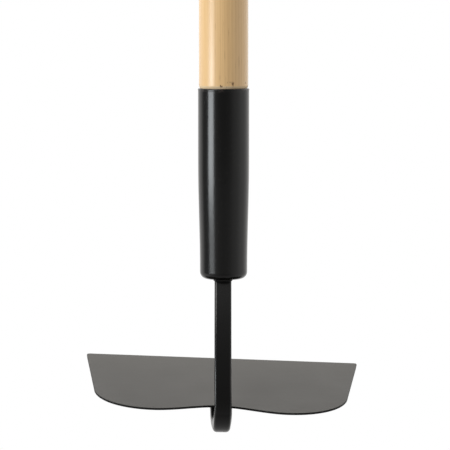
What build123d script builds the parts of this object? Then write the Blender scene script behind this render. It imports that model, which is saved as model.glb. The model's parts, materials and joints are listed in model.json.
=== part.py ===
from build123d import *
import math
import os
from collections import namedtuple

# Grub hoe: a welded steel head on a long ash handle. Millimetres.
# The handle stands on Z with its butt up. X runs across the blade, and the cutting edge points to +Y,
# which is the user's side. The origin is on the handle's axis where its full round begins, just above
# the ferrule's mouth.

# Handle
handle_length = 1524.0  # 60 in, from the foot of the spigot to the butt
handle_diameter = 35.6
butt_round = 13.0
shoulder_height = 1.6  # bevel from the full round down to the spigot
spigot_clearance = 0.1  # between the spigot and the ferrule, per side
spigot_end_gap = 3.0  # from the spigot's foot to the ferrule's floor

# Ferrule: a drawn tube with a closed end
ferrule_length = 138.0
ferrule_diameter = 36.9
ferrule_tip_diameter = 34.2
ferrule_wall = 1.25
swage_start = 54.0  # below the mouth, where the tube starts to narrow
swage_length = 78.0
tip_round = 5.0
lip_height = 2.3  # rolled lip at the mouth
lip_proud = 0.12
lip_round = 1.0

# Neck: one forged bar, from the tang's tip to the foot under the blade
bar_width = 12.2
bar_thickness = 11.0
bar_corner = 1.6
neck_offset = -0.45  # of the whole neck from the ferrule's middle, to the left
tang_length = 62.0
tang_tip_width = 8.0
tang_bore_clearance = 0.4  # round the tang's corners, in the handle
tang_bore_spare = 6.0  # of depth past the tang's tip
shoulder_depth = 22.0  # front to back, where the neck bears on the ferrule's floor
shoulder_forward = 1.0  # from the tang's middle to the shoulder's
exit_radius = 14.0  # every radius is at the bar's middle
neck_lean = 36.9  # degrees from the handle, away from the user
neck_sweep_radius = 178.2
neck_lean_low = 8.0  # lean left where the hook begins
hook_radius = 10.5
hook_rise = 135.0  # direction of the bar where the hook ends, degrees from straight down
hook_width = 12.6  # at the lowest point
hook_end_width = 15.2
hook_corner = 3.2
rise_length = 10.35
rise_share = 0.15  # of the change from the hook's end to the foot
foot_bend_radius = 20.0
foot_width = 22.0
foot_thickness = 6.0
foot_corner = 2.0
foot_edge_round = 1.8  # under the foot, round its free sides
foot_length = 26.0
foot_tip_round = 9.0
hook_drift = -1.75  # the hook lies left of the handle's middle
foot_drift = -2.1
head_roll = 2.15  # degrees that the welded blade sits off square, right side low

# Blade
blade_width = 203.2  # 8 in at the cutting edge
blade_depth = 101.6  # 4 in, cutting edge to the lobes
blade_thickness = 1.6
blade_tilt = 13.3  # degrees that the cutting edge rises from square to the handle
side_taper = 7.9
lobe_inset = 43.9  # from the side's end to the lobe's lowest point
corner_depth = 31.8  # from the lobe's lowest point to the side's end
dip_depth = 9.2  # of the back edge between the lobes
edge_corner = 2.4  # at the two ends of the cutting edge
bevel_length = 7.0  # ground on the underside
bevel_edge = 0.5  # steel left at the cutting edge
dip_gap = 2.3  # between the neck and the dip

# Welds and rivet
neck_bead = 0.8
neck_bead_round = 0.6
foot_bead = 2.8
foot_bead_margin = 2.0  # from each end of the foot's straight sides
rivet_drop = 30.0  # below the ferrule's mouth
rivet_shank = 4.0
rivet_length = 24.0
rivet_head = 8.6
rivet_head_height = 2.0
rivet_head_round = 1.7
rivet_head_sink = 0.25  # so that the flat seat meets the ferrule's round wall
rivet_clearance = 0.05

mouth_z = -shoulder_height
floor_z = mouth_z - ferrule_length
curve_handle = 0.56  # share of a quarter turn's reach that its Bezier handles take
least_corner = 0.5  # inside the ferrule's tip
round_share = 0.45  # the most of a side that a rounding may take
cut_past = 1.0  # that a cutting shape runs past what it cuts


def barrel_outline(inset, bottom, top):
    """Closed half section, in XZ, of the ferrule's barrel shrunk by inset."""
    wide = ferrule_diameter / 2 - inset
    narrow = ferrule_tip_diameter / 2 - inset
    swage_top = mouth_z - swage_start
    swage_bottom = swage_top - swage_length
    third = swage_length / 3
    corner = max(tip_round - inset, least_corner)
    return [
        Line((0, bottom), (narrow - corner, bottom)),
        TangentArc((narrow - corner, bottom), (narrow, bottom + corner), tangent=(1, 0)),
        Line((narrow, bottom + corner), (narrow, swage_bottom)),
        Bezier(
            (narrow, swage_bottom),
            (narrow, swage_bottom + third),
            (wide, swage_top - third),
            (wide, swage_top),
        ),
        Line((wide, swage_top), (wide, top)),
    ]


def turned(edges, top):
    """Solid of revolution about Z, of a half section closed along its top and the axis."""
    start = edges[0] @ 0
    end = edges[-1] @ 1
    closing = [Line(end, (0, top)), Line((0, top), start)]
    return revolve(Plane.XZ * make_face(edges + closing), Axis.Z)


def make_ferrule(tang_hole):
    """Drawn tube with a rolled lip, a swaged lower half and a closed, rounded end."""
    lip_middle = mouth_z - lip_height / 2
    outside = turned(barrel_outline(0, floor_z, lip_middle), lip_middle)
    lip = Pos(0, 0, lip_middle) * Cylinder(ferrule_diameter / 2 + lip_proud, lip_height)
    lip = fillet(lip.edges(), min(lip_round, lip_height * round_share))
    inside_floor = floor_z + ferrule_wall
    inside_top = mouth_z + cut_past
    inside = turned(barrel_outline(ferrule_wall, inside_floor, inside_top), inside_top)
    return outside + lip - inside - tang_hole


def root_plane():
    """Level plane at the ferrule's floor, where the neck leaves it."""
    return Plane(origin=(neck_offset, 0, floor_z), x_dir=(1, 0, 0), z_dir=(0, 0, 1))


def make_handle():
    """Ash handle, domed at the butt, turned down to a spigot that fills the ferrule, bored for the tang."""
    inset = ferrule_wall + spigot_clearance
    foot_z = floor_z + ferrule_wall + spigot_end_gap
    spigot_radius = ferrule_diameter / 2 - inset
    radius = handle_diameter / 2
    butt_z = foot_z + handle_length
    edges = barrel_outline(inset, foot_z, mouth_z)
    edges += [
        Line((spigot_radius, mouth_z), (radius, 0)),
        Line((radius, 0), (radius, butt_z - butt_round)),
        TangentArc((radius, butt_z - butt_round), (radius - butt_round, butt_z), tangent=(0, 1)),
    ]
    tang_reach = math.hypot(bar_width, bar_thickness) / 2 - bar_corner * (math.sqrt(2) - 1)
    bore = extrude(root_plane() * Circle(tang_reach + tang_bore_clearance), tang_length + tang_bore_spare)
    return turned(edges, butt_z) - bore


# The neck is drawn as legs, each one arc or one straight run, with the bar's section at its end.
Section = namedtuple("Section", "width thickness corner across roll")
Leg = namedtuple("Leg", "turn size steps section")
Station = namedtuple("Station", "y z lean section")


def tang_section():
    return Section(bar_width, bar_thickness, bar_corner, neck_offset, 0)


def neck_legs():
    """Legs from the ferrule's floor to the foot. A turn of 0 is a straight run of that size."""
    square = 90 + blade_tilt
    bar = tang_section()
    hook_low = Section(hook_width, bar_thickness, hook_corner, hook_drift, head_roll / 2)
    hook_end = Section(hook_end_width, bar_thickness, hook_corner, hook_drift, head_roll)
    foot = Section(foot_width, foot_thickness, foot_corner, foot_drift, head_roll)
    rise_end = Section(*(a + (b - a) * rise_share for a, b in zip(hook_end, foot)))
    shoulder = bar._replace(thickness=shoulder_depth)
    return shoulder, {
        "exit": Leg(-neck_lean, exit_radius, 3, shoulder),
        "sweep": Leg(neck_lean - neck_lean_low, neck_sweep_radius, 6, bar),
        "hook_front": Leg(neck_lean_low + 90, hook_radius, 6, hook_low),
        "hook_back": Leg(hook_rise - 90, hook_radius, 3, hook_end),
        "rise": Leg(0, rise_length, 2, rise_end),
        "foot_bend": Leg(square - hook_rise, foot_bend_radius, 3, foot),
        "foot_lead": Leg(0, foot_corner, 1, foot),  # runs on into the foot
    }


def step_along(y, z, lean, turn, size):
    """The next point and direction, one arc of radius size, or one straight run if turn is 0."""
    before, after = math.radians(lean), math.radians(lean + turn)
    if turn == 0:
        return y + size * math.sin(before), z - size * math.cos(before), lean
    side = math.copysign(size, turn)
    return (
        y + side * (math.cos(before) - math.cos(after)),
        z + side * (math.sin(before) - math.sin(after)),
        lean + turn,
    )


def neck_stations():
    """Each leg's stations, from its start to its end."""
    section, legs = neck_legs()
    here = Station(-shoulder_forward, floor_z, 0.0, section)
    stations = {}
    for name, leg in legs.items():
        stations[name] = [here]
        for step in range(1, leg.steps + 1):
            size = leg.size if leg.turn else leg.size / leg.steps
            y, z, lean = step_along(here.y, here.z, here.lean, leg.turn / leg.steps, size)
            share = step / leg.steps
            values = [a + (b - a) * share for a, b in zip(section, leg.section)]
            here = Station(y, z, lean, Section(*values))
            stations[name].append(here)
        section = leg.section
    return stations


def station_plane(station):
    """Plane across the bar: x is the bar's width, and z points along the bar."""
    lean = math.radians(station.lean)
    width_dir = Vector(1, 0, 0).rotate(Axis.Y, station.section.roll)
    along = Vector(0, math.sin(lean), -math.cos(lean)).rotate(Axis.Y, station.section.roll)
    return Plane(origin=(station.section.across, station.y, station.z), x_dir=width_dir, z_dir=along)


def bar_face(plane, section):
    return plane * RectangleRounded(section.width, section.thickness, section.corner)


def make_bar(legs):
    """Forged bar along some legs. The whole bar starts deep, hooks round and flattens into the foot."""
    along = legs[0][:1]
    for leg in legs:
        along += leg[1:]
    return loft([bar_face(station_plane(s), s.section) for s in along])


def make_foot(plane):
    """Flat tongue that lies along the blade's underside, its far end round."""
    overlap = foot_corner  # into the hook's end
    tongue = Pos(0, (foot_length - overlap) / 2) * Rectangle(foot_width, foot_length + overlap)
    tip_radius = min(foot_tip_round, foot_width * round_share)
    tongue = fillet(tongue.vertices().sort_by(Axis.Y)[-2:], tip_radius)
    slab = extrude(tongue, -foot_thickness)
    low = slab.faces().sort_by(Axis.Z)[0]
    edges = low.edges().filter_by(lambda edge: edge.center().Y > 0)
    return plane * fillet(edges, min(foot_edge_round, foot_thickness * round_share))


def foot_plane(stations):
    """Where the foot begins: on the blade's underside, y towards the cutting edge."""
    seat = stations["foot_bend"][-1]
    across = station_plane(seat)
    normal = -across.y_dir
    return Plane(origin=across.origin + normal * (foot_thickness / 2), x_dir=across.x_dir, z_dir=normal)


def make_tang():
    """Square taper that runs up into the handle."""
    tip = tang_section()._replace(width=tang_tip_width, thickness=tang_tip_width)
    return loft([bar_face(root_plane(), tang_section()), bar_face(root_plane().offset(tang_length), tip)])


def make_neck(stations, blade):
    """Tang, bar and foot in one, the foot bedded flat on the blade."""
    whole = make_tang() + make_bar(list(stations.values())) + make_foot(foot_plane(stations))
    return whole - blade


def blade_plane(stations):
    """Plane of the blade's underside: x across it, y towards the cutting edge, origin at the dip."""
    seat = foot_plane(stations)
    hook = stations["hook_front"][0]  # where the plain bar ends and the hook begins
    tilt = math.radians(blade_tilt)
    inner_face_y = hook.y + bar_thickness / 2
    dip_y = inner_face_y + dip_gap + blade_thickness * math.sin(tilt)
    back = (seat.origin.Y - dip_y) / math.cos(tilt)
    return Plane(origin=seat.origin - seat.y_dir * back, x_dir=seat.x_dir, z_dir=seat.z_dir)


def blade_outline():
    """Right half of the blade's outline, from the middle of the cutting edge to the dip."""
    dip_to_edge = blade_depth - dip_depth
    slope = math.tan(math.radians(side_taper))
    side_length = blade_depth - corner_depth
    half = blade_width / 2
    side_end = (half - side_length * slope, dip_to_edge - side_length)
    lobe = (side_end[0] - lobe_inset, -dip_depth)
    reach = curve_handle * corner_depth
    side_handle = (side_end[0] - slope * reach, side_end[1] - reach)
    third = lobe[0] / 3
    return [
        Line((0, dip_to_edge), (half, dip_to_edge)),
        Line((half, dip_to_edge), side_end),
        Bezier(side_end, side_handle, (lobe[0] + curve_handle * lobe_inset, lobe[1]), lobe),
        Bezier(lobe, (lobe[0] - third, lobe[1]), (third, 0), (0, 0)),
    ]


def make_blade(plane):
    """Plate with a straight cutting edge, ground to a bevel on its underside."""
    half = blade_outline()
    left = [mirror(edge, Plane.YZ) for edge in half]
    face = make_face(half + left)
    edge_y = blade_depth - dip_depth
    plate = extrude(face, blade_thickness)
    ends = plate.edges().filter_by(Axis.Z).sort_by(Axis.Y)[-2:]
    plate = fillet(ends, edge_corner)
    slope = (blade_thickness - bevel_edge) / bevel_length
    heel_y = edge_y - bevel_length
    past_y = edge_y + cut_past
    bevel = Polyline((past_y, -cut_past), (heel_y, 0), (past_y, slope * (past_y - heel_y)), close=True)
    wedge = extrude(Plane.YZ * make_face(bevel), blade_width, both=True)
    return plane * (plate - wedge)


def make_neck_weld(stations, ferrule):
    """Bead that closes the ferrule's floor on the neck's shoulder."""
    width = bar_width + 2 * neck_bead
    depth = shoulder_depth + 2 * neck_bead
    blank = Pos(0, -shoulder_forward, 0) * RectangleRounded(width, depth, bar_corner + neck_bead)
    bead = extrude(root_plane().offset(-neck_bead) * blank, neck_bead + ferrule_wall / 2)
    bead = fillet(bead.faces().sort_by(Axis.Z)[0].edges(), min(neck_bead_round, neck_bead))
    bead = bead - make_bar([stations["exit"]]) - ferrule
    return bead.solids().sort_by(Axis.Z)[0]  # the rest is the tang's place in the ferrule's floor


def make_foot_weld(plane, side, neck):
    """Bead in the corner between one side of the foot and the blade's underside."""
    near_y = foot_bead_margin - foot_corner
    far_y = foot_length - foot_tip_round - foot_bead_margin
    outline = [
        Line((0, near_y - foot_bead), (0, far_y + foot_bead)),
        TangentArc((0, far_y + foot_bead), (foot_bead, far_y), tangent=(1, 0)),
        Line((foot_bead, far_y), (foot_bead, near_y)),
        TangentArc((foot_bead, near_y), (0, near_y - foot_bead), tangent=(0, -1)),
    ]
    rod = revolve(make_face(outline), Axis.Y)
    under = Pos(0, (near_y + far_y) / 2, -foot_bead) * Box(4 * foot_bead, 2 * foot_length, 2 * foot_bead)
    return plane * Pos(side * foot_width / 2, 0, 0) * (rod & under) - neck


def make_rivet(clearance):
    """Round-headed rivet through the ferrule's rear wall, its axis along Y."""
    seat = ferrule_diameter / 2
    shank = Pos(0, 0, seat - rivet_length) * extrude(Circle(rivet_shank / 2 + clearance), rivet_length)
    head = Pos(0, 0, seat - rivet_head_sink) * extrude(Circle(rivet_head / 2), rivet_head_height)
    head = fillet(head.edges().sort_by(Axis.Z)[-1:], rivet_head_round)
    rivet = shank if clearance else shank + head
    return Pos(0, 0, mouth_z - rivet_drop) * Rot(-90, 0, 0) * rivet


def build():
    stations = neck_stations()
    blade = make_blade(blade_plane(stations))
    neck = make_neck(stations, blade)
    tang_face = bar_face(root_plane().offset(-cut_past), tang_section())
    tang_hole = extrude(tang_face, ferrule_wall + 2 * cut_past)
    rivet_hole = make_rivet(rivet_clearance)
    ferrule = make_ferrule(tang_hole) - rivet_hole
    foot = foot_plane(stations)
    return {
        "handle": make_handle() - rivet_hole,
        "ferrule": ferrule,
        "neck": neck,
        "blade": blade,
        "neck_weld": make_neck_weld(stations, ferrule),
        "blade_weld_left": make_foot_weld(foot, -1, neck),
        "blade_weld_right": make_foot_weld(foot, 1, neck),
        "ferrule_rivet": make_rivet(0) - ferrule,
    }


os.makedirs("parts", exist_ok=True)
for name, shape in build().items():
    export_step(shape, f"parts/{name}.step")
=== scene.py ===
import json
import math
import bmesh
import bpy
from mathutils import Matrix, Vector


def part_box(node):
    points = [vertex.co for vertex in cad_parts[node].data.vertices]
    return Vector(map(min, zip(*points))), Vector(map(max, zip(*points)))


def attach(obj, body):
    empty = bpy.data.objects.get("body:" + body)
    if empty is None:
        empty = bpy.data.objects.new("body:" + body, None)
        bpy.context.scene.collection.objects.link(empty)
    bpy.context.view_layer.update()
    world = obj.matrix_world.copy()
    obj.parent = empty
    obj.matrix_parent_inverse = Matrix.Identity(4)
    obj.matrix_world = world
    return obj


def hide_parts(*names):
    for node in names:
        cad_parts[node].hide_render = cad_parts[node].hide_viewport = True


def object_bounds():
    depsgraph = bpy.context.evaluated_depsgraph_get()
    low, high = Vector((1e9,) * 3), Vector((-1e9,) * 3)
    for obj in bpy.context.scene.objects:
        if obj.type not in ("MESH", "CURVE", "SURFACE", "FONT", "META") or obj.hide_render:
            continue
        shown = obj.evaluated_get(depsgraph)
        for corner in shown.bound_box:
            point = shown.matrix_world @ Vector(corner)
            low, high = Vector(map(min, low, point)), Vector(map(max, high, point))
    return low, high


# A grub hoe: ash handle, gloss black ferrule, satin black neck and a grey steel blade hooked under it.
# Metres; +Z up the handle, +X across the blade, +Y towards the cutting edge.
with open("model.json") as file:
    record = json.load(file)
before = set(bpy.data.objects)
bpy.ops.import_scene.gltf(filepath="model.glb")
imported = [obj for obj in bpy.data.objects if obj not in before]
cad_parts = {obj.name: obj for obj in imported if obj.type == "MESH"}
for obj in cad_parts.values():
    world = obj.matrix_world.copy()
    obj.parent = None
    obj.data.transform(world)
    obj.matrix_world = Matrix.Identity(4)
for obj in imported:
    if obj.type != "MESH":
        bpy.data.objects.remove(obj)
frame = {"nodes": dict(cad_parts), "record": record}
cadBox = [list(corner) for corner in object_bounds()]
mounts = {mount["name"]: mount for mount in frame["record"]["mounts"]}
bpy.context.scene.view_settings.view_transform = "Standard"


class Wire:
    # one output socket of a tree; its operators add Math nodes

    def __init__(self, tree, socket):
        self.tree = tree
        self.socket = socket

    def maths(self, operation, *values):
        return self.tree.add("ShaderNodeMath", {"operation": operation}, dict(enumerate(values)))

    def __add__(self, other):
        return self.maths("ADD", self, other)

    def __sub__(self, other):
        return self.maths("SUBTRACT", self, other)

    def __rsub__(self, other):
        return self.maths("SUBTRACT", other, self)

    def __mul__(self, other):
        return self.maths("MULTIPLY", self, other)

    def __truediv__(self, other):
        return self.maths("DIVIDE", self, other)

    __radd__ = __add__
    __rmul__ = __mul__


class Tree:
    # a shader, world or geometry tree that is built from an empty one

    def __init__(self, nodeTree):
        self.nodes = nodeTree.nodes
        self.links = nodeTree.links
        self.nodes.clear()

    def add(self, kind, settings=None, sockets=None, output=0):
        node = self.nodes.new(kind)
        for name, value in (settings or {}).items():
            if name == "stops":
                fillRamp(node.color_ramp, value)
            else:
                setattr(node, name, value)
        for name, value in (sockets or {}).items():
            if isinstance(value, Wire):
                self.links.new(value.socket, node.inputs[name])
            else:
                node.inputs[name].default_value = value
        return Wire(self, node.outputs[output]) if len(node.outputs) else None

    def split(self, vector):
        node = self.add("ShaderNodeSeparateXYZ", None, {0: vector}).socket.node
        return [Wire(self, socket) for socket in node.outputs]

    def lengthAlong(self, place, direction):
        # how far a place lies along a direction
        settings = {"operation": "DOT_PRODUCT"}
        return self.add("ShaderNodeVectorMath", settings, {0: place, 1: direction}, "Value")

    def mix(self, share, first, second):
        # a Mix node takes its colours at sockets 6 and 7 and gives one at 2
        return self.add("ShaderNodeMix", {"data_type": "RGBA"}, {0: share, 6: first, 7: second}, 2)

    def noise(self, place, scale, detail=2.0, rough=0.5):
        stretched = self.add("ShaderNodeMapping", None, {"Vector": place, "Scale": scale})
        sockets = {"Vector": stretched, "Scale": 1.0, "Detail": detail, "Roughness": rough}
        return self.add("ShaderNodeTexNoise", None, sockets)

    def fade(self, value, start, end, low=0.0, high=1.0):
        settings = {"interpolation_type": "SMOOTHSTEP"}
        sockets = {"Value": value, "From Min": start, "From Max": end, "To Min": low, "To Max": high}
        return self.add("ShaderNodeMapRange", settings, sockets)

    def ramp(self, value, stops):
        return self.add("ShaderNodeValToRGB", {"stops": stops}, {"Fac": value})

    def smooth(self, mesh):
        sockets = {"Geometry": mesh, "Shade Smooth": True}
        return self.add("GeometryNodeSetShadeSmooth", {"domain": "FACE"}, sockets)

    def bump(self, height, depth, under=None):
        sockets = {"Height": height, "Distance": depth, "Strength": 1.0}
        if under:
            sockets["Normal"] = under
        return self.add("ShaderNodeBump", None, sockets)


def fillRamp(ramp, stops):
    ramp.elements[0].position = stops[0][0]
    ramp.elements[1].position = stops[-1][0]
    for place, tone in stops[1:-1]:
        ramp.elements.new(place)
    for element, (place, tone) in zip(ramp.elements, stops):
        element.color = tone if isinstance(tone, tuple) else (tone, tone, tone, 1)


def newMaterial(name):
    material = bpy.data.materials.new(name)
    material.use_nodes = True
    tree = Tree(material.node_tree)
    place = tree.add("ShaderNodeTexCoord", output="Object")
    return material, tree, place


def closeMaterial(tree, sockets):
    shader = tree.add("ShaderNodeBsdfPrincipled", None, sockets)
    tree.add("ShaderNodeOutputMaterial", None, {"Surface": shader})


ash = {
    "pith": (0.13, 0.05, 0.0),  # the tree's middle, off to one side of the handle
    "ringGap": 0.0027,
    "pale": (0.98, 0.655, 0.315, 1),
    "dark": (0.86, 0.55, 0.255, 1),
    "fibre": (0.76, 0.47, 0.205, 1),
    "pore": (0.36, 0.19, 0.08, 1),
    "raw": (0.86, 0.66, 0.42, 1),
    "scorch": (0.10, 0.035, 0.018, 1),
    "sway": 0.0045,  # how far the rings wander
    "cutBack": (0.0006, -0.0001),  # heights where the raw bevel starts and is full
    "tornAbove": (0.0040, 0.0016),  # heights where the torn lacquer starts and is full
    "tornBelow": (-0.0012, 0.0002),
}


def ashFinish():
    material, tree, place = newMaterial("lacqueredAsh")
    height = tree.split(place)[2]
    sway = tree.noise(place, (14, 14, 1.3), 2)
    fromPith = tree.add("ShaderNodeVectorMath", {"operation": "SUBTRACT"}, {0: place, 1: ash["pith"]})
    flat = tree.add("ShaderNodeVectorMath", {"operation": "MULTIPLY"}, {0: fromPith, 1: (1, 1, 0.004)})
    reach = tree.add("ShaderNodeVectorMath", {"operation": "LENGTH"}, {0: flat}, "Value")
    ring = (reach + sway * ash["sway"]) / ash["ringGap"]
    phase = ring.maths("FRACT", ring)
    early = tree.ramp(phase, [(0.0, 1.0), (0.16, 0.8), (0.4, 0.22), (0.86, 0.0), (1.0, 0.9)])
    fibres = tree.noise(place, (1300, 1300, 16), 3, 0.65)
    streaks = tree.noise(place, (420, 420, 5), 2, 0.6)
    pores = tree.fade(tree.noise(place, (2100, 2100, 85), 1), 0.63, 0.74) * early
    patches = tree.noise(place, (30, 30, 3.2), 2)

    base = tree.mix(early * 0.6 + patches * 0.25, ash["pale"], ash["dark"])
    base = tree.mix(tree.fade(fibres, 0.42, 0.72, 0.0, 0.42), base, ash["fibre"])
    base = tree.mix(tree.fade(streaks, 0.5, 0.75, 0.0, 0.35), base, ash["dark"])
    base = tree.mix(pores * 0.4, base, ash["pore"])

    bevel = tree.fade(height, *ash["cutBack"])
    ragged = tree.noise(place, (330, 330, 150), 2)
    tornBand = tree.fade(height, *ash["tornAbove"]) * tree.fade(height, *ash["tornBelow"])
    torn = tree.fade(ragged, 0.60, 0.68) * tornBand
    base = tree.mix(bevel, base, ash["raw"])
    base = tree.mix(torn * 0.85, base, ash["scorch"])

    lacquer = (1 - bevel) * (1 - torn)
    grainBump = tree.bump(fibres * 0.5 + pores * -1.2, 0.00004)
    tornBump = tree.bump(torn * -1.0, 0.0004, grainBump)
    closeMaterial(tree, {
        "Base Color": base,
        "Roughness": tree.fade(lacquer, 0.0, 1.0, 0.85, 0.46),
        "Coat Weight": lacquer,
        "Coat Roughness": 0.25,
        "Coat IOR": 1.5,
        "Specular IOR Level": 0.35,
        "Normal": tornBump,
    })
    return material


enamel = {
    "black": (0.0035, 0.0034, 0.0033, 1),
    # primer, shown by chips on the neck and also used for the painted highlight on the ferrule's lip
    "primerAndSheen": (0.055, 0.040, 0.036, 1),
    "dust": (0.11, 0.105, 0.10, 1),
    "lipBandLow": 0.0030,  # depths below the mouth where the lighter lip band starts and is full: rubbed enamel and a painted highlight of the rolled lip
    "lipBandHigh": 0.0012,
}


def ferrulePaint():
    material, tree, place = newMaterial("glossBlackEnamel")
    height = tree.split(place)[2]
    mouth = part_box("ferrule")[1].z
    lip = tree.fade(height, mouth - enamel["lipBandLow"], mouth - enamel["lipBandHigh"])
    peel = tree.noise(place, (520, 520, 420), 2)
    flow = tree.noise(place, (60, 60, 22), 2)
    rubbed = tree.noise(place, (160, 160, 420), 3, 0.7)
    scuffs = tree.fade(tree.noise(place, (700, 700, 60), 3, 0.7), 0.66, 0.8)
    specks = tree.fade(tree.noise(place, (2600, 2600, 2600), 0), 0.78, 0.84)
    # rubbed enamel at the lip, which also paints the rolled lip's highlight as a lighter band
    lipWearAndSheen = lip * tree.fade(rubbed, 0.45, 0.7)
    base = tree.mix(lipWearAndSheen * 0.6, enamel["black"], enamel["primerAndSheen"])
    base = tree.mix(specks * 0.5 + scuffs * 0.06, base, enamel["dust"])
    closeMaterial(tree, {
        "Base Color": base,
        "Roughness": 0.185 + flow * 0.03 + scuffs * 0.10 + lipWearAndSheen * 0.2,
        "IOR": 1.5,
        "Normal": tree.bump(specks, 0.00002, tree.bump(peel * 0.5 + flow * 1.5, 0.00002)),
    })
    return material


def neckPaint(name, rough, lump):
    material, tree, place = newMaterial(name)
    forged = tree.noise(place, (95, 95, 60), 3, 0.6)
    peel = tree.noise(place, (900, 900, 900), 2)
    chips = tree.fade(tree.noise(place, (330, 330, 330), 3, 0.75), 0.72, 0.76)
    base = tree.mix(chips * 0.5, enamel["black"], enamel["primerAndSheen"])
    closeMaterial(tree, {
        "Base Color": base,
        "Roughness": rough + forged * 0.08 + chips * 0.2,
        "IOR": 1.5,
        "Normal": tree.bump(peel, 0.00002, tree.bump(forged, 0.0001 * lump)),
    })
    return material


steel = {
    "light": (0.066, 0.062, 0.0555, 1),
    "deep": (0.056, 0.0525, 0.047, 1),
    # stains on the blade, also used for the painted shade towards the lobes
    "stainAndShade": (0.030, 0.028, 0.0255, 1),
    "ground": (0.42, 0.415, 0.40, 1),
    # near black: painted shade on the sheared rim
    "rim": (0.012, 0.0115, 0.011, 1),
    "rimWorn": (0.05, 0.047, 0.043, 1),
}


def bladeSteel(across, along):
    material, tree, place = newMaterial("satinGreySteel")
    sideways = tree.lengthAlong(place, across)
    inwards = tree.lengthAlong(place, along)
    rolled = tree.add("ShaderNodeCombineXYZ", None, {0: sideways * 26, 1: inwards * 1900, 2: 0.0})
    lines = tree.noise(rolled, (1, 1, 1), 3, 0.6)
    cloud = tree.noise(place, (22, 22, 22), 4, 0.6)
    fine = tree.noise(place, (1500, 1500, 1500), 2)
    spots = tree.fade(tree.noise(place, (210, 210, 210), 4, 0.7), 0.66, 0.78)
    base = tree.mix(tree.fade(cloud, 0.3, 0.7), steel["deep"], steel["light"])
    base = tree.mix(tree.fade(lines, 0.4, 0.75, 0.0, 0.25), base, steel["light"])
    base = tree.mix(spots * 0.2, base, steel["stainAndShade"])
    paintedFalloff = tree.fade(inwards, 0.06, -0.05, 0.0, 0.75)  # darker towards the lobes: painted shade, the light falling off away from the cutting edge
    base = tree.mix(paintedFalloff, base, steel["stainAndShade"])
    closeMaterial(tree, {
        "Base Color": base,
        "Metallic": 0.8,
        "Roughness": 0.43 + cloud * 0.1 - lines * 0.06 + spots * 0.08,
        "Specular IOR Level": 0.3,
        "Normal": tree.bump(lines * 0.7 + fine * 0.4, 0.000012),
    })
    return material


def edgeSteel(across):
    material, tree, place = newMaterial("groundSteel")
    sideways = tree.lengthAlong(place, across)
    passes = tree.add("ShaderNodeCombineXYZ", None, {0: sideways * 2600, 1: 0.0, 2: 0.0})
    marks = tree.noise(passes, (1, 1, 1), 4, 0.7)
    tarnish = tree.noise(place, (60, 60, 60), 3)
    base = tree.mix(tree.fade(tarnish, 0.35, 0.75, 0.0, 0.6), steel["ground"], steel["light"])
    closeMaterial(tree, {
        "Base Color": base,
        "Metallic": 1.0,
        "Roughness": 0.26 + marks * 0.2,
        "Normal": tree.bump(marks, 0.00002),
    })
    return material


def shadedRimSteel():
    # the sheared rim, near black as painted shade, and a little brighter where it rubs
    material, tree, place = newMaterial("shadedRim")
    torn = tree.noise(place, (700, 700, 90), 3, 0.6)
    rubbed = tree.fade(tree.noise(place, (120, 120, 120), 3, 0.7), 0.58, 0.75)
    closeMaterial(tree, {
        "Base Color": tree.mix(rubbed * 0.5, steel["rim"], steel["rimWorn"]),
        "Metallic": 0.5,
        "Roughness": 0.5 + torn * 0.15,
        "Normal": tree.bump(torn, 0.00003),
    })
    return material


def plainMesh(source, name):
    # the evaluated object as a mesh of its own, with no modifiers
    shown = source.evaluated_get(bpy.context.evaluated_depsgraph_get())
    piece = bpy.data.objects.new(name, bpy.data.meshes.new_from_object(shown))
    bpy.context.scene.collection.objects.link(piece)
    bpy.data.objects.remove(source)
    return piece


def seat(piece, slot, *nodes):
    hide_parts(*nodes)
    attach(piece, "root")
    print(piece.name, len(piece.data.polygons), "faces")


def newGroup(name, sockets):
    # a geometry tree with its named inputs, and the wires that they arrive on
    group = bpy.data.node_groups.new(name, "GeometryNodeTree")
    group.interface.new_socket("Geometry", in_out="OUTPUT", socket_type="NodeSocketGeometry")
    for label, kind in sockets:
        group.interface.new_socket(label, in_out="INPUT", socket_type="NodeSocket" + kind)
    tree = Tree(group)
    start = tree.nodes.new("NodeGroupInput")
    return group, tree, {label: Wire(tree, start.outputs[label]) for label, kind in sockets}


def closeGroup(tree, mesh, finish):
    whole = tree.add("GeometryNodeRealizeInstances", None, {"Geometry": mesh})
    painted = tree.add("GeometryNodeSetMaterial", None, {"Geometry": whole, "Material": finish})
    tree.add("NodeGroupOutput", None, {"Geometry": painted})


def runGroup(group, values, name):
    # an object made by the tree, its inputs set by their identifiers
    maker = bpy.data.objects.new(name + "Maker", bpy.data.meshes.new(name + "Maker"))
    bpy.context.scene.collection.objects.link(maker)
    modifier = maker.modifiers.new("nodes", "NODES")
    modifier.node_group = group
    for item in group.interface.items_tree:
        if item.in_out == "INPUT":
            modifier[item.identifier] = values[item.name]
    return plainMesh(maker, name)


def pathObject(name, points, closed=False):
    mesh = bpy.data.meshes.new(name)
    edges = [(i, i + 1) for i in range(len(points) - 1)]
    if closed:
        edges.append((len(points) - 1, 0))
    mesh.from_pydata(points, edges, [])
    route = bpy.data.objects.new(name, mesh)
    bpy.context.scene.collection.objects.link(route)
    return route


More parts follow.
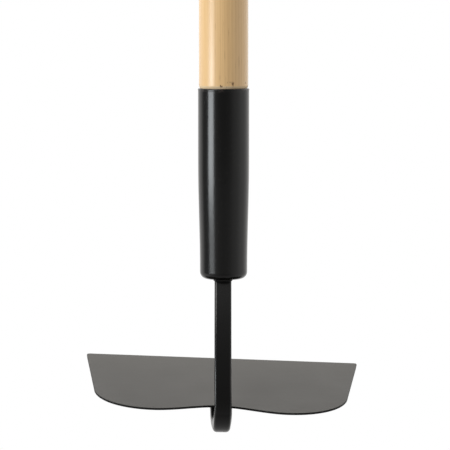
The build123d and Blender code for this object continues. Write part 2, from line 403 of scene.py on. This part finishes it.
def latheGroup():
    # turns an outline of points (radius, 0, height) about Z
    group, tree, inputs = newGroup("turnOnLathe", [
        ("Outline", "Object"), ("Sides", "Int"), ("Crease", "Float"), ("Finish", "Material")])
    outline = tree.add("GeometryNodeObjectInfo", None, {"Object": inputs["Outline"]}, "Geometry")
    rows = tree.add("GeometryNodeAttributeDomainSize", {"component": "MESH"}, {0: outline}, "Point Count")
    counts = {"Vertices X": inputs["Sides"] + 1, "Vertices Y": rows}
    sheet = tree.add("GeometryNodeMeshGrid", None, counts, "Mesh")
    number = tree.add("GeometryNodeInputIndex")
    row = number.maths("MODULO", number, rows)
    column = number.maths("FLOOR", (number + 0.5) / rows)
    spot = tree.add("GeometryNodeInputPosition")
    sampler = {"data_type": "FLOAT_VECTOR", "domain": "POINT"}
    sample = tree.add("GeometryNodeSampleIndex", sampler, {"Geometry": outline, "Value": spot, "Index": row})
    radius, height = tree.split(sample)[::2]
    angle = column * (2 * math.pi) / inputs["Sides"]
    turned = tree.add("ShaderNodeCombineXYZ", None, {
        0: radius * angle.maths("COSINE", angle), 1: radius * angle.maths("SINE", angle), 2: height})
    body = tree.add("GeometryNodeSetPosition", None, {"Geometry": sheet, "Position": turned})
    body = tree.add("GeometryNodeMergeByDistance", None, {"Geometry": body, "Distance": 1e-6})
    body = tree.smooth(body)
    bend = tree.add("GeometryNodeInputMeshEdgeAngle", output="Unsigned Angle")
    sharp = bend.maths("GREATER_THAN", bend, inputs["Crease"])
    body = tree.add("GeometryNodeSetShadeSmooth", {"domain": "EDGE"}, {
        "Geometry": body, "Selection": sharp, "Shade Smooth": False})
    closeGroup(tree, body, inputs["Finish"])
    return group


handle = {
    "radius": 0.0178,
    "spigotRadius": 0.0170,
    "spigotDepth": 0.030,  # of the spigot that is drawn below the mouth
    "arris": 0.0004,  # rounding at the top of the raw bevel
    "arrisPoints": ((0.6, 1.2), (0.15, 0.3)),  # inwards and down, in arrises
    "buttRound": 0.013,
    "lengths": 48,  # of the straight side
    "steps": 14,
    "sides": 128,
    "crease": 0.6,  # edges that bend more than this stay sharp
}


def arcPoints(centre, radius, start, end, steps):
    angles = [math.radians(start + (end - start) * i / steps) for i in range(steps + 1)]
    return [(centre[0] + radius * math.cos(a), 0.0, centre[1] + radius * math.sin(a)) for a in angles]


def makeHandle(lathe):
    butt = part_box("handle")[1].z
    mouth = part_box("ferrule")[1].z
    foot = mouth - handle["spigotDepth"]
    radius, arris, buttRound = handle["radius"], handle["arris"], handle["buttRound"]
    spigot = handle["spigotRadius"]
    length = (butt - buttRound - arris) / handle["lengths"]
    outline = [(0.0, 0.0, foot), (spigot, 0.0, foot), (spigot, 0.0, mouth)]
    outline += [(radius - arris * inwards, 0.0, -arris * down) for inwards, down in handle["arrisPoints"]]
    outline += [(radius, 0.0, arris + length * i) for i in range(handle["lengths"])]
    outline += arcPoints((radius - buttRound, butt - buttRound), buttRound, 0, 90, handle["steps"])
    outline += [(0.0, 0.0, butt)]
    route = pathObject("handleOutline", outline)
    values = {"Outline": route, "Sides": handle["sides"], "Crease": handle["crease"], "Finish": ashFinish()}
    piece = runGroup(lathe, values, "ashHandle")
    bpy.data.objects.remove(route)
    seat(piece, "ash", "handle")


blade = {
    "width": 0.2032,
    "depth": 0.1016,
    "thickness": 0.0016,
    "tilt": 13.3,
    "roll": 2.15,
    "sideTaper": 7.9,
    "lobeInset": 0.0439,
    "cornerDepth": 0.0318,
    "dipDepth": 0.0092,
    "edgeCorner": 0.0024,
    "cornerReach": 1.2,  # length of an edge corner's curve, in its radii
    "cornerSteps": 8,
    "bevelLength": 0.007,
    "bevelEdge": 0.0005,  # steel left at the cutting edge
    "curve": 0.56,  # share of a corner that its handles take
    "inset": 0.045,  # of the record's seat from the dip
    "bevelLean": 0.05,  # a lower face that leans this much to the cutting edge is the ground bevel
    "rounding": 0.0002,  # of the sheared edges
    "roundingSteps": 3,
    "roundingAngle": 30,
    "steps": 48,
}


def bladeAxes():
    # across the blade, from the dip to the cutting edge, and out of its upper face
    tilt = math.radians(blade["tilt"])
    turn = Matrix.Rotation(math.radians(blade["roll"]), 3, "Y")
    across = turn @ Vector((1, 0, 0))
    along = turn @ Vector((0, math.cos(tilt), math.sin(tilt)))
    return across, along, across.cross(along)


def bladeMatrix():
    across, along, up = bladeAxes()
    turn = Matrix((across, along, up)).transposed()
    dip = Vector(mounts["blade_top"]["pos_m"]) - turn @ Vector((0, blade["inset"], blade["thickness"]))
    return Matrix.Translation(dip) @ turn.to_4x4()


def bezier(points, steps):
    curve = []
    for i in range(1, steps + 1):
        t = i / steps
        weights = ((1 - t) ** 3, 3 * t * (1 - t) ** 2, 3 * t * t * (1 - t), t ** 3)
        curve.append(sum((point * weight for point, weight in zip(points, weights)), Vector((0, 0))))
    return curve


def bladeOutline():
    # the right half, from the middle of the cutting edge round to the dip, then its mirror image
    half = blade["width"] / 2
    slope = math.tan(math.radians(blade["sideTaper"]))
    edge = blade["depth"] - blade["dipDepth"]
    sideLength = blade["depth"] - blade["cornerDepth"]
    sideEnd = Vector((half - sideLength * slope, edge - sideLength))
    lobe = Vector((sideEnd.x - blade["lobeInset"], -blade["dipDepth"]))
    reach = blade["curve"] * blade["cornerDepth"]
    cut = blade["edgeCorner"] * blade["cornerReach"]
    tip = Vector((half, edge))
    start = tip - Vector((cut, 0))
    end = tip - Vector((slope * cut, cut))
    points = []
    for i in range(blade["cornerSteps"] + 1):
        t = i / blade["cornerSteps"]
        points.append(start * (1 - t) ** 2 + tip * 2 * t * (1 - t) + end * t * t)
    points.append(sideEnd)
    sideHandle = sideEnd - Vector((slope * reach, reach))
    lobeHandle = lobe + Vector((blade["curve"] * blade["lobeInset"], 0))
    points += bezier([sideEnd, sideHandle, lobeHandle, lobe], blade["steps"])
    third = Vector((lobe.x / 3, 0))
    points += bezier([lobe, lobe - third, third, Vector((0, 0))], blade["steps"])
    return points + [Vector((-point.x, point.y)) for point in reversed(points[:-1])]


def makeBlade():
    outline = bladeOutline()
    form = bmesh.new()
    low = [form.verts.new((point.x, point.y, 0)) for point in outline]
    high = [form.verts.new((point.x, point.y, blade["thickness"])) for point in outline]
    form.faces.new(low)
    form.faces.new(reversed(high))
    for i, vertex in enumerate(low):
        after = (i + 1) % len(low)
        form.faces.new((low[after], vertex, high[i], high[after]))
    start = blade["depth"] - blade["dipDepth"] - blade["bevelLength"]
    parts = form.faces[:] + form.edges[:] + form.verts[:]
    bmesh.ops.bisect_plane(form, geom=parts, plane_co=(0, start, 0), plane_no=(0, 1, 0))
    rise = (blade["thickness"] - blade["bevelEdge"]) / blade["bevelLength"]
    for vertex in form.verts:
        if vertex.co.y > start and vertex.co.z < blade["thickness"] / 2:
            vertex.co.z += (vertex.co.y - start) * rise
    bmesh.ops.recalc_face_normals(form, faces=form.faces[:])
    for face in form.faces:
        face.smooth = True
        if abs(face.normal.z) < 0.5:
            face.material_index = 2  # the sheared rim
        elif face.normal.z < 0 and face.normal.y > blade["bevelLean"]:
            face.material_index = 1  # the ground bevel
    mesh = bpy.data.meshes.new("bladeForm")
    form.transform(bladeMatrix())
    form.to_mesh(mesh)
    form.free()
    across, along = bladeAxes()[:2]
    for finish in (bladeSteel(across, along), edgeSteel(across), shadedRimSteel()):
        mesh.materials.append(finish)
    source = bpy.data.objects.new("bladeForm", mesh)
    bpy.context.scene.collection.objects.link(source)
    rounding = source.modifiers.new("rounding", "BEVEL")
    rounding.width = blade["rounding"]
    rounding.segments = blade["roundingSteps"]
    rounding.limit_method = "ANGLE"
    rounding.angle_limit = math.radians(blade["roundingAngle"])
    rounding.harden_normals = True
    piece = plainMesh(source, "bladePlate")
    seat(piece, "blade_steel", "blade")


bead = {
    "ripple": 0.0011,  # from one pulse to the next
    "depth": 0.10,  # of a pulse, in radii
    "sway": 0.22,  # of the slow change in width, in radii
    "step": 0.00022,
    "sides": 20,
    "seed": 7.0,
}


def beadGroup():
    # a weld bead laid along a path: a round rod whose width pulses with each pass of the rod
    group, tree, inputs = newGroup("layBead", [
        ("Route", "Object"), ("Radius", "Float"), ("Ripple", "Float"), ("Depth", "Float"), ("Sway", "Float"),
        ("Step", "Float"), ("Sides", "Int"), ("Seed", "Float"), ("Finish", "Material")])
    route = tree.add("GeometryNodeObjectInfo", None, {"Object": inputs["Route"]}, "Geometry")
    line = tree.add("GeometryNodeMeshToCurve", None, {"Mesh": route})
    spacing = {"Curve": line, "Length": inputs["Step"]}
    line = tree.add("GeometryNodeResampleCurve", {"mode": "LENGTH"}, spacing)
    travel = tree.add("GeometryNodeSplineParameter", output="Length")
    beat = travel / inputs["Ripple"]
    pulse = beat.maths("FRACT", beat)
    swell = pulse.maths("POWER", pulse, 0.6)
    slow = {"W": beat * 0.45 + inputs["Seed"], "Scale": 1.0}
    sway = tree.add("ShaderNodeTexNoise", {"noise_dimensions": "1D"}, slow)
    width = inputs["Radius"] * (1 + (swell - 0.6) * inputs["Depth"] + (sway - 0.5) * inputs["Sway"])
    ends = {"Resolution": inputs["Sides"], "Radius": 1.0}
    circle = tree.add("GeometryNodeCurvePrimitiveCircle", None, ends)
    tube = tree.add("GeometryNodeCurveToMesh", None, {
        "Curve": line, "Profile Curve": circle, "Scale": width, "Fill Caps": True})
    closeGroup(tree, tree.smooth(tube), inputs["Finish"])
    return group


def layBead(group, name, points, closed, radius, finish, slot, node):
    route = pathObject(name + "Route", points, closed)
    values = {"Route": route, "Radius": radius, "Finish": finish}
    values.update({label.capitalize(): value for label, value in bead.items()})
    piece = runGroup(group, values, name)
    bpy.data.objects.remove(route)
    seat(piece, slot, node)


neckShoulder = {"width": 0.0122, "depth": 0.022, "corner": 0.0016, "steps": 6}


def shoulderOutline(middle, height):
    # the neck's outline where it leaves the ferrule
    points = []
    corner, steps = neckShoulder["corner"], neckShoulder["steps"]
    for sideX, sideY, start in ((1, 1, 0), (-1, 1, 90), (-1, -1, 180), (1, -1, 270)):
        x = middle.x + sideX * (neckShoulder["width"] / 2 - corner)
        y = middle.y + sideY * (neckShoulder["depth"] / 2 - corner)
        for i in range(steps + 1):
            angle = math.radians(start + 90 * i / steps)
            points.append((x + corner * math.cos(angle), y + corner * math.sin(angle), height))
    return points


footBead = {
    "radius": 0.0019,
    "out": 0.0007,  # from the side of the foot
    "down": 0.0009,  # from the blade's underside
    "points": 13,
}


def makeWelds():
    group = beadGroup()
    paint = neckPaint("enamelOnWeld", 0.3, 0.6)
    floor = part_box("ferrule")[0].z
    low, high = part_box("neck_weld")
    ring = shoulderOutline((low + high) / 2, floor)
    layBead(group, "neckBead", ring, True, floor - low.z, paint, "neck_paint", "neck_weld")
    fromBlade = bladeMatrix()
    toBlade = fromBlade.inverted()
    reach = footBead["radius"]
    for side, node in ((-1, "blade_weld_left"), (1, "blade_weld_right")):
        corners = [toBlade @ vertex.co for vertex in frame["nodes"][node].data.vertices]
        x = min(side * corner.x for corner in corners) + footBead["out"]
        start = min(corner.y for corner in corners) + reach
        end = max(corner.y for corner in corners) - reach
        step = (end - start) / (footBead["points"] - 1)
        places = [Vector((side * x, start + step * i, -footBead["down"])) for i in range(footBead["points"])]
        line = [fromBlade @ place for place in places]
        name = "footBead" + ("Left" if side < 0 else "Right")
        layBead(group, name, line, False, reach, paint, "weld_metal", node)


def dressFrame():
    # the CAD pieces whose shape is right as it is
    finishes = {
        "ferrule": ferrulePaint(),
        "neck": neckPaint("satinBlackEnamel", 0.2, 1.0),
        "ferrule_rivet": neckPaint("enamelOnRivet", 0.22, 0.4),
    }
    for node, finish in finishes.items():
        frame["nodes"][node].material_slots[0].material = finish


studio = {
    "floorDrop": 0.30,  # of the floor below the hoe
    "floorSize": 40.0,
    "pale": (1.0, 1.0, 1.0, 1),  # what the camera sees
    "dark": (0.0, 0.0, 0.0, 1),
    "warm": (1.0, 0.99, 0.975, 1),
    "depth": [  # brightness from the camera's side, at 0, to behind the hoe, at 1
        (0.0, 0.11), (0.05, 0.16), (0.15, 0.26), (0.3, 0.36),
        (0.45, 0.56), (0.5, 0.62), (0.62, 0.74), (0.9, 1.0),
    ],
    "sides": 0.2,  # brightness added at the sides
    "gap": 0.7,  # brightness lost in the dark gap
    "table": 0.16,  # brightness added low in front
}


def studioGlow(tree, direction):
    # brightness from a direction: dim in front, pale at the sides and behind, with a dark gap at the
    # left and a table's pale edge low in front
    x, y, z = tree.split(direction)
    depth = tree.ramp(y * 0.5 + 0.5, studio["depth"])
    aside = x.maths("ABSOLUTE", x)
    sides = tree.fade(aside, 0.4, 0.9) * tree.fade(y, 0.3, -0.1) * studio["sides"]
    gap = 1 - tree.fade(x, -0.90, -0.965) * studio["gap"]
    low = tree.fade(z, -0.04, -0.16) * tree.fade(z, -0.42, -0.24)
    table = low * tree.fade(y, -0.5, -0.9) * studio["table"]
    return (depth + sides) * gap + table


def studioColour(tree, direction):
    # plain and pale to the camera, the studio's glow to everything else
    seen = tree.add("ShaderNodeLightPath", output="Is Camera Ray")
    glow = tree.mix(studioGlow(tree, direction), studio["dark"], studio["warm"])
    return tree.mix(seen, glow, studio["pale"])


def makeWorld():
    world = bpy.data.worlds.new("studio")
    bpy.context.scene.world = world
    world.use_nodes = True
    tree = Tree(world.node_tree)
    direction = tree.add("ShaderNodeTexCoord", output="Generated")
    colour = studioColour(tree, direction)
    background = tree.add("ShaderNodeBackground", None, {"Color": colour, "Strength": 1.0})
    tree.add("ShaderNodeOutputWorld", None, {"Surface": background})


def makeFloor():
    low = cadBox[0][2] - studio["floorDrop"]
    half = studio["floorSize"] / 2
    mesh = bpy.data.meshes.new("floor")
    corners = [(-half, -half, low), (half, -half, low), (half, half, low), (-half, half, low)]
    mesh.from_pydata(corners, [], [(0, 1, 2, 3)])
    floor = bpy.data.objects.new("floor", mesh)
    bpy.context.scene.collection.objects.link(floor)
    material, tree, place = newMaterial("paleFloor")
    direction = tree.add("ShaderNodeVectorMath", {"operation": "NORMALIZE"}, {0: place})
    colour = studioColour(tree, direction)
    shine = tree.add("ShaderNodeEmission", None, {"Color": colour, "Strength": 1.0})
    under = tree.add("ShaderNodeNewGeometry", output="Backfacing")
    clear = tree.add("ShaderNodeBsdfTransparent")
    surface = tree.add("ShaderNodeMixShader", None, {0: under, 1: shine, 2: clear})
    tree.add("ShaderNodeOutputMaterial", None, {"Surface": surface})
    mesh.materials.append(material)
    material.cycles.emission_sampling = "NONE"


softboxes = {
    "strip": {
        "turn": -59, "rise": -3.0, "away": 1.1, "aim": -0.04,
        "size": (0.50, 0.26), "watts": 3.7, "tint": (0.92, 0.97, 1.0),
    },
    "key": {
        "turn": -52, "rise": 45, "away": 1.8, "aim": -0.05,
        "size": (1.1, 1.1), "watts": 14.5, "tint": (1.0, 0.985, 0.96),
    },
    "back": {
        "turn": 180, "rise": 40, "away": 0.9, "aim": -0.2,
        "size": (0.8, 0.5), "watts": 1.6, "tint": (1.0, 0.985, 0.95),
    },
}


def makeSoftboxes():
    # turn is round from the camera, positive to the right; rise is up from level; aim is a height
    for name, box in softboxes.items():
        turn, rise = math.radians(box["turn"]), math.radians(box["rise"])
        out = Vector((math.sin(turn) * math.cos(rise), -math.cos(turn) * math.cos(rise), math.sin(rise)))
        lamp = bpy.data.lights.new(name, "AREA")
        lamp.shape = "RECTANGLE"
        lamp.size, lamp.size_y = box["size"]
        lamp.energy = box["watts"]
        lamp.color = box["tint"]
        holder = bpy.data.objects.new(name, lamp)
        holder.rotation_euler = out.to_track_quat("Z", "Y").to_euler()
        holder.location = Vector((0, 0, box["aim"])) + out * box["away"]
        holder.visible_camera = False
        bpy.context.scene.collection.objects.link(holder)


viewpoint = {
    "target": (0.00101, -0.00936, -0.0999),
    "away": 1.874,
    "pitch": 5.3,
    "lens": 208.0,
    "film": 36.0,
    "farthest": 200,
}


def makeCamera():
    camera = bpy.data.cameras.new("camera")
    camera.lens = viewpoint["lens"]
    camera.sensor_width = viewpoint["film"]
    camera.clip_end = viewpoint["farthest"]
    holder = bpy.data.objects.new("camera", camera)
    pitch = math.radians(viewpoint["pitch"])
    back = Vector((0, -math.cos(pitch), math.sin(pitch)))
    holder.location = Vector(viewpoint["target"]) + back * viewpoint["away"]
    holder.rotation_euler = (math.pi / 2 - pitch, 0, 0)
    bpy.context.scene.collection.objects.link(holder)
    bpy.context.scene.camera = holder


makeCamera()
makeWorld()
makeFloor()
makeSoftboxes()
print("studio set")
makeHandle(latheGroup())
makeBlade()
makeWelds()
dressFrame()
print("hoe dressed")
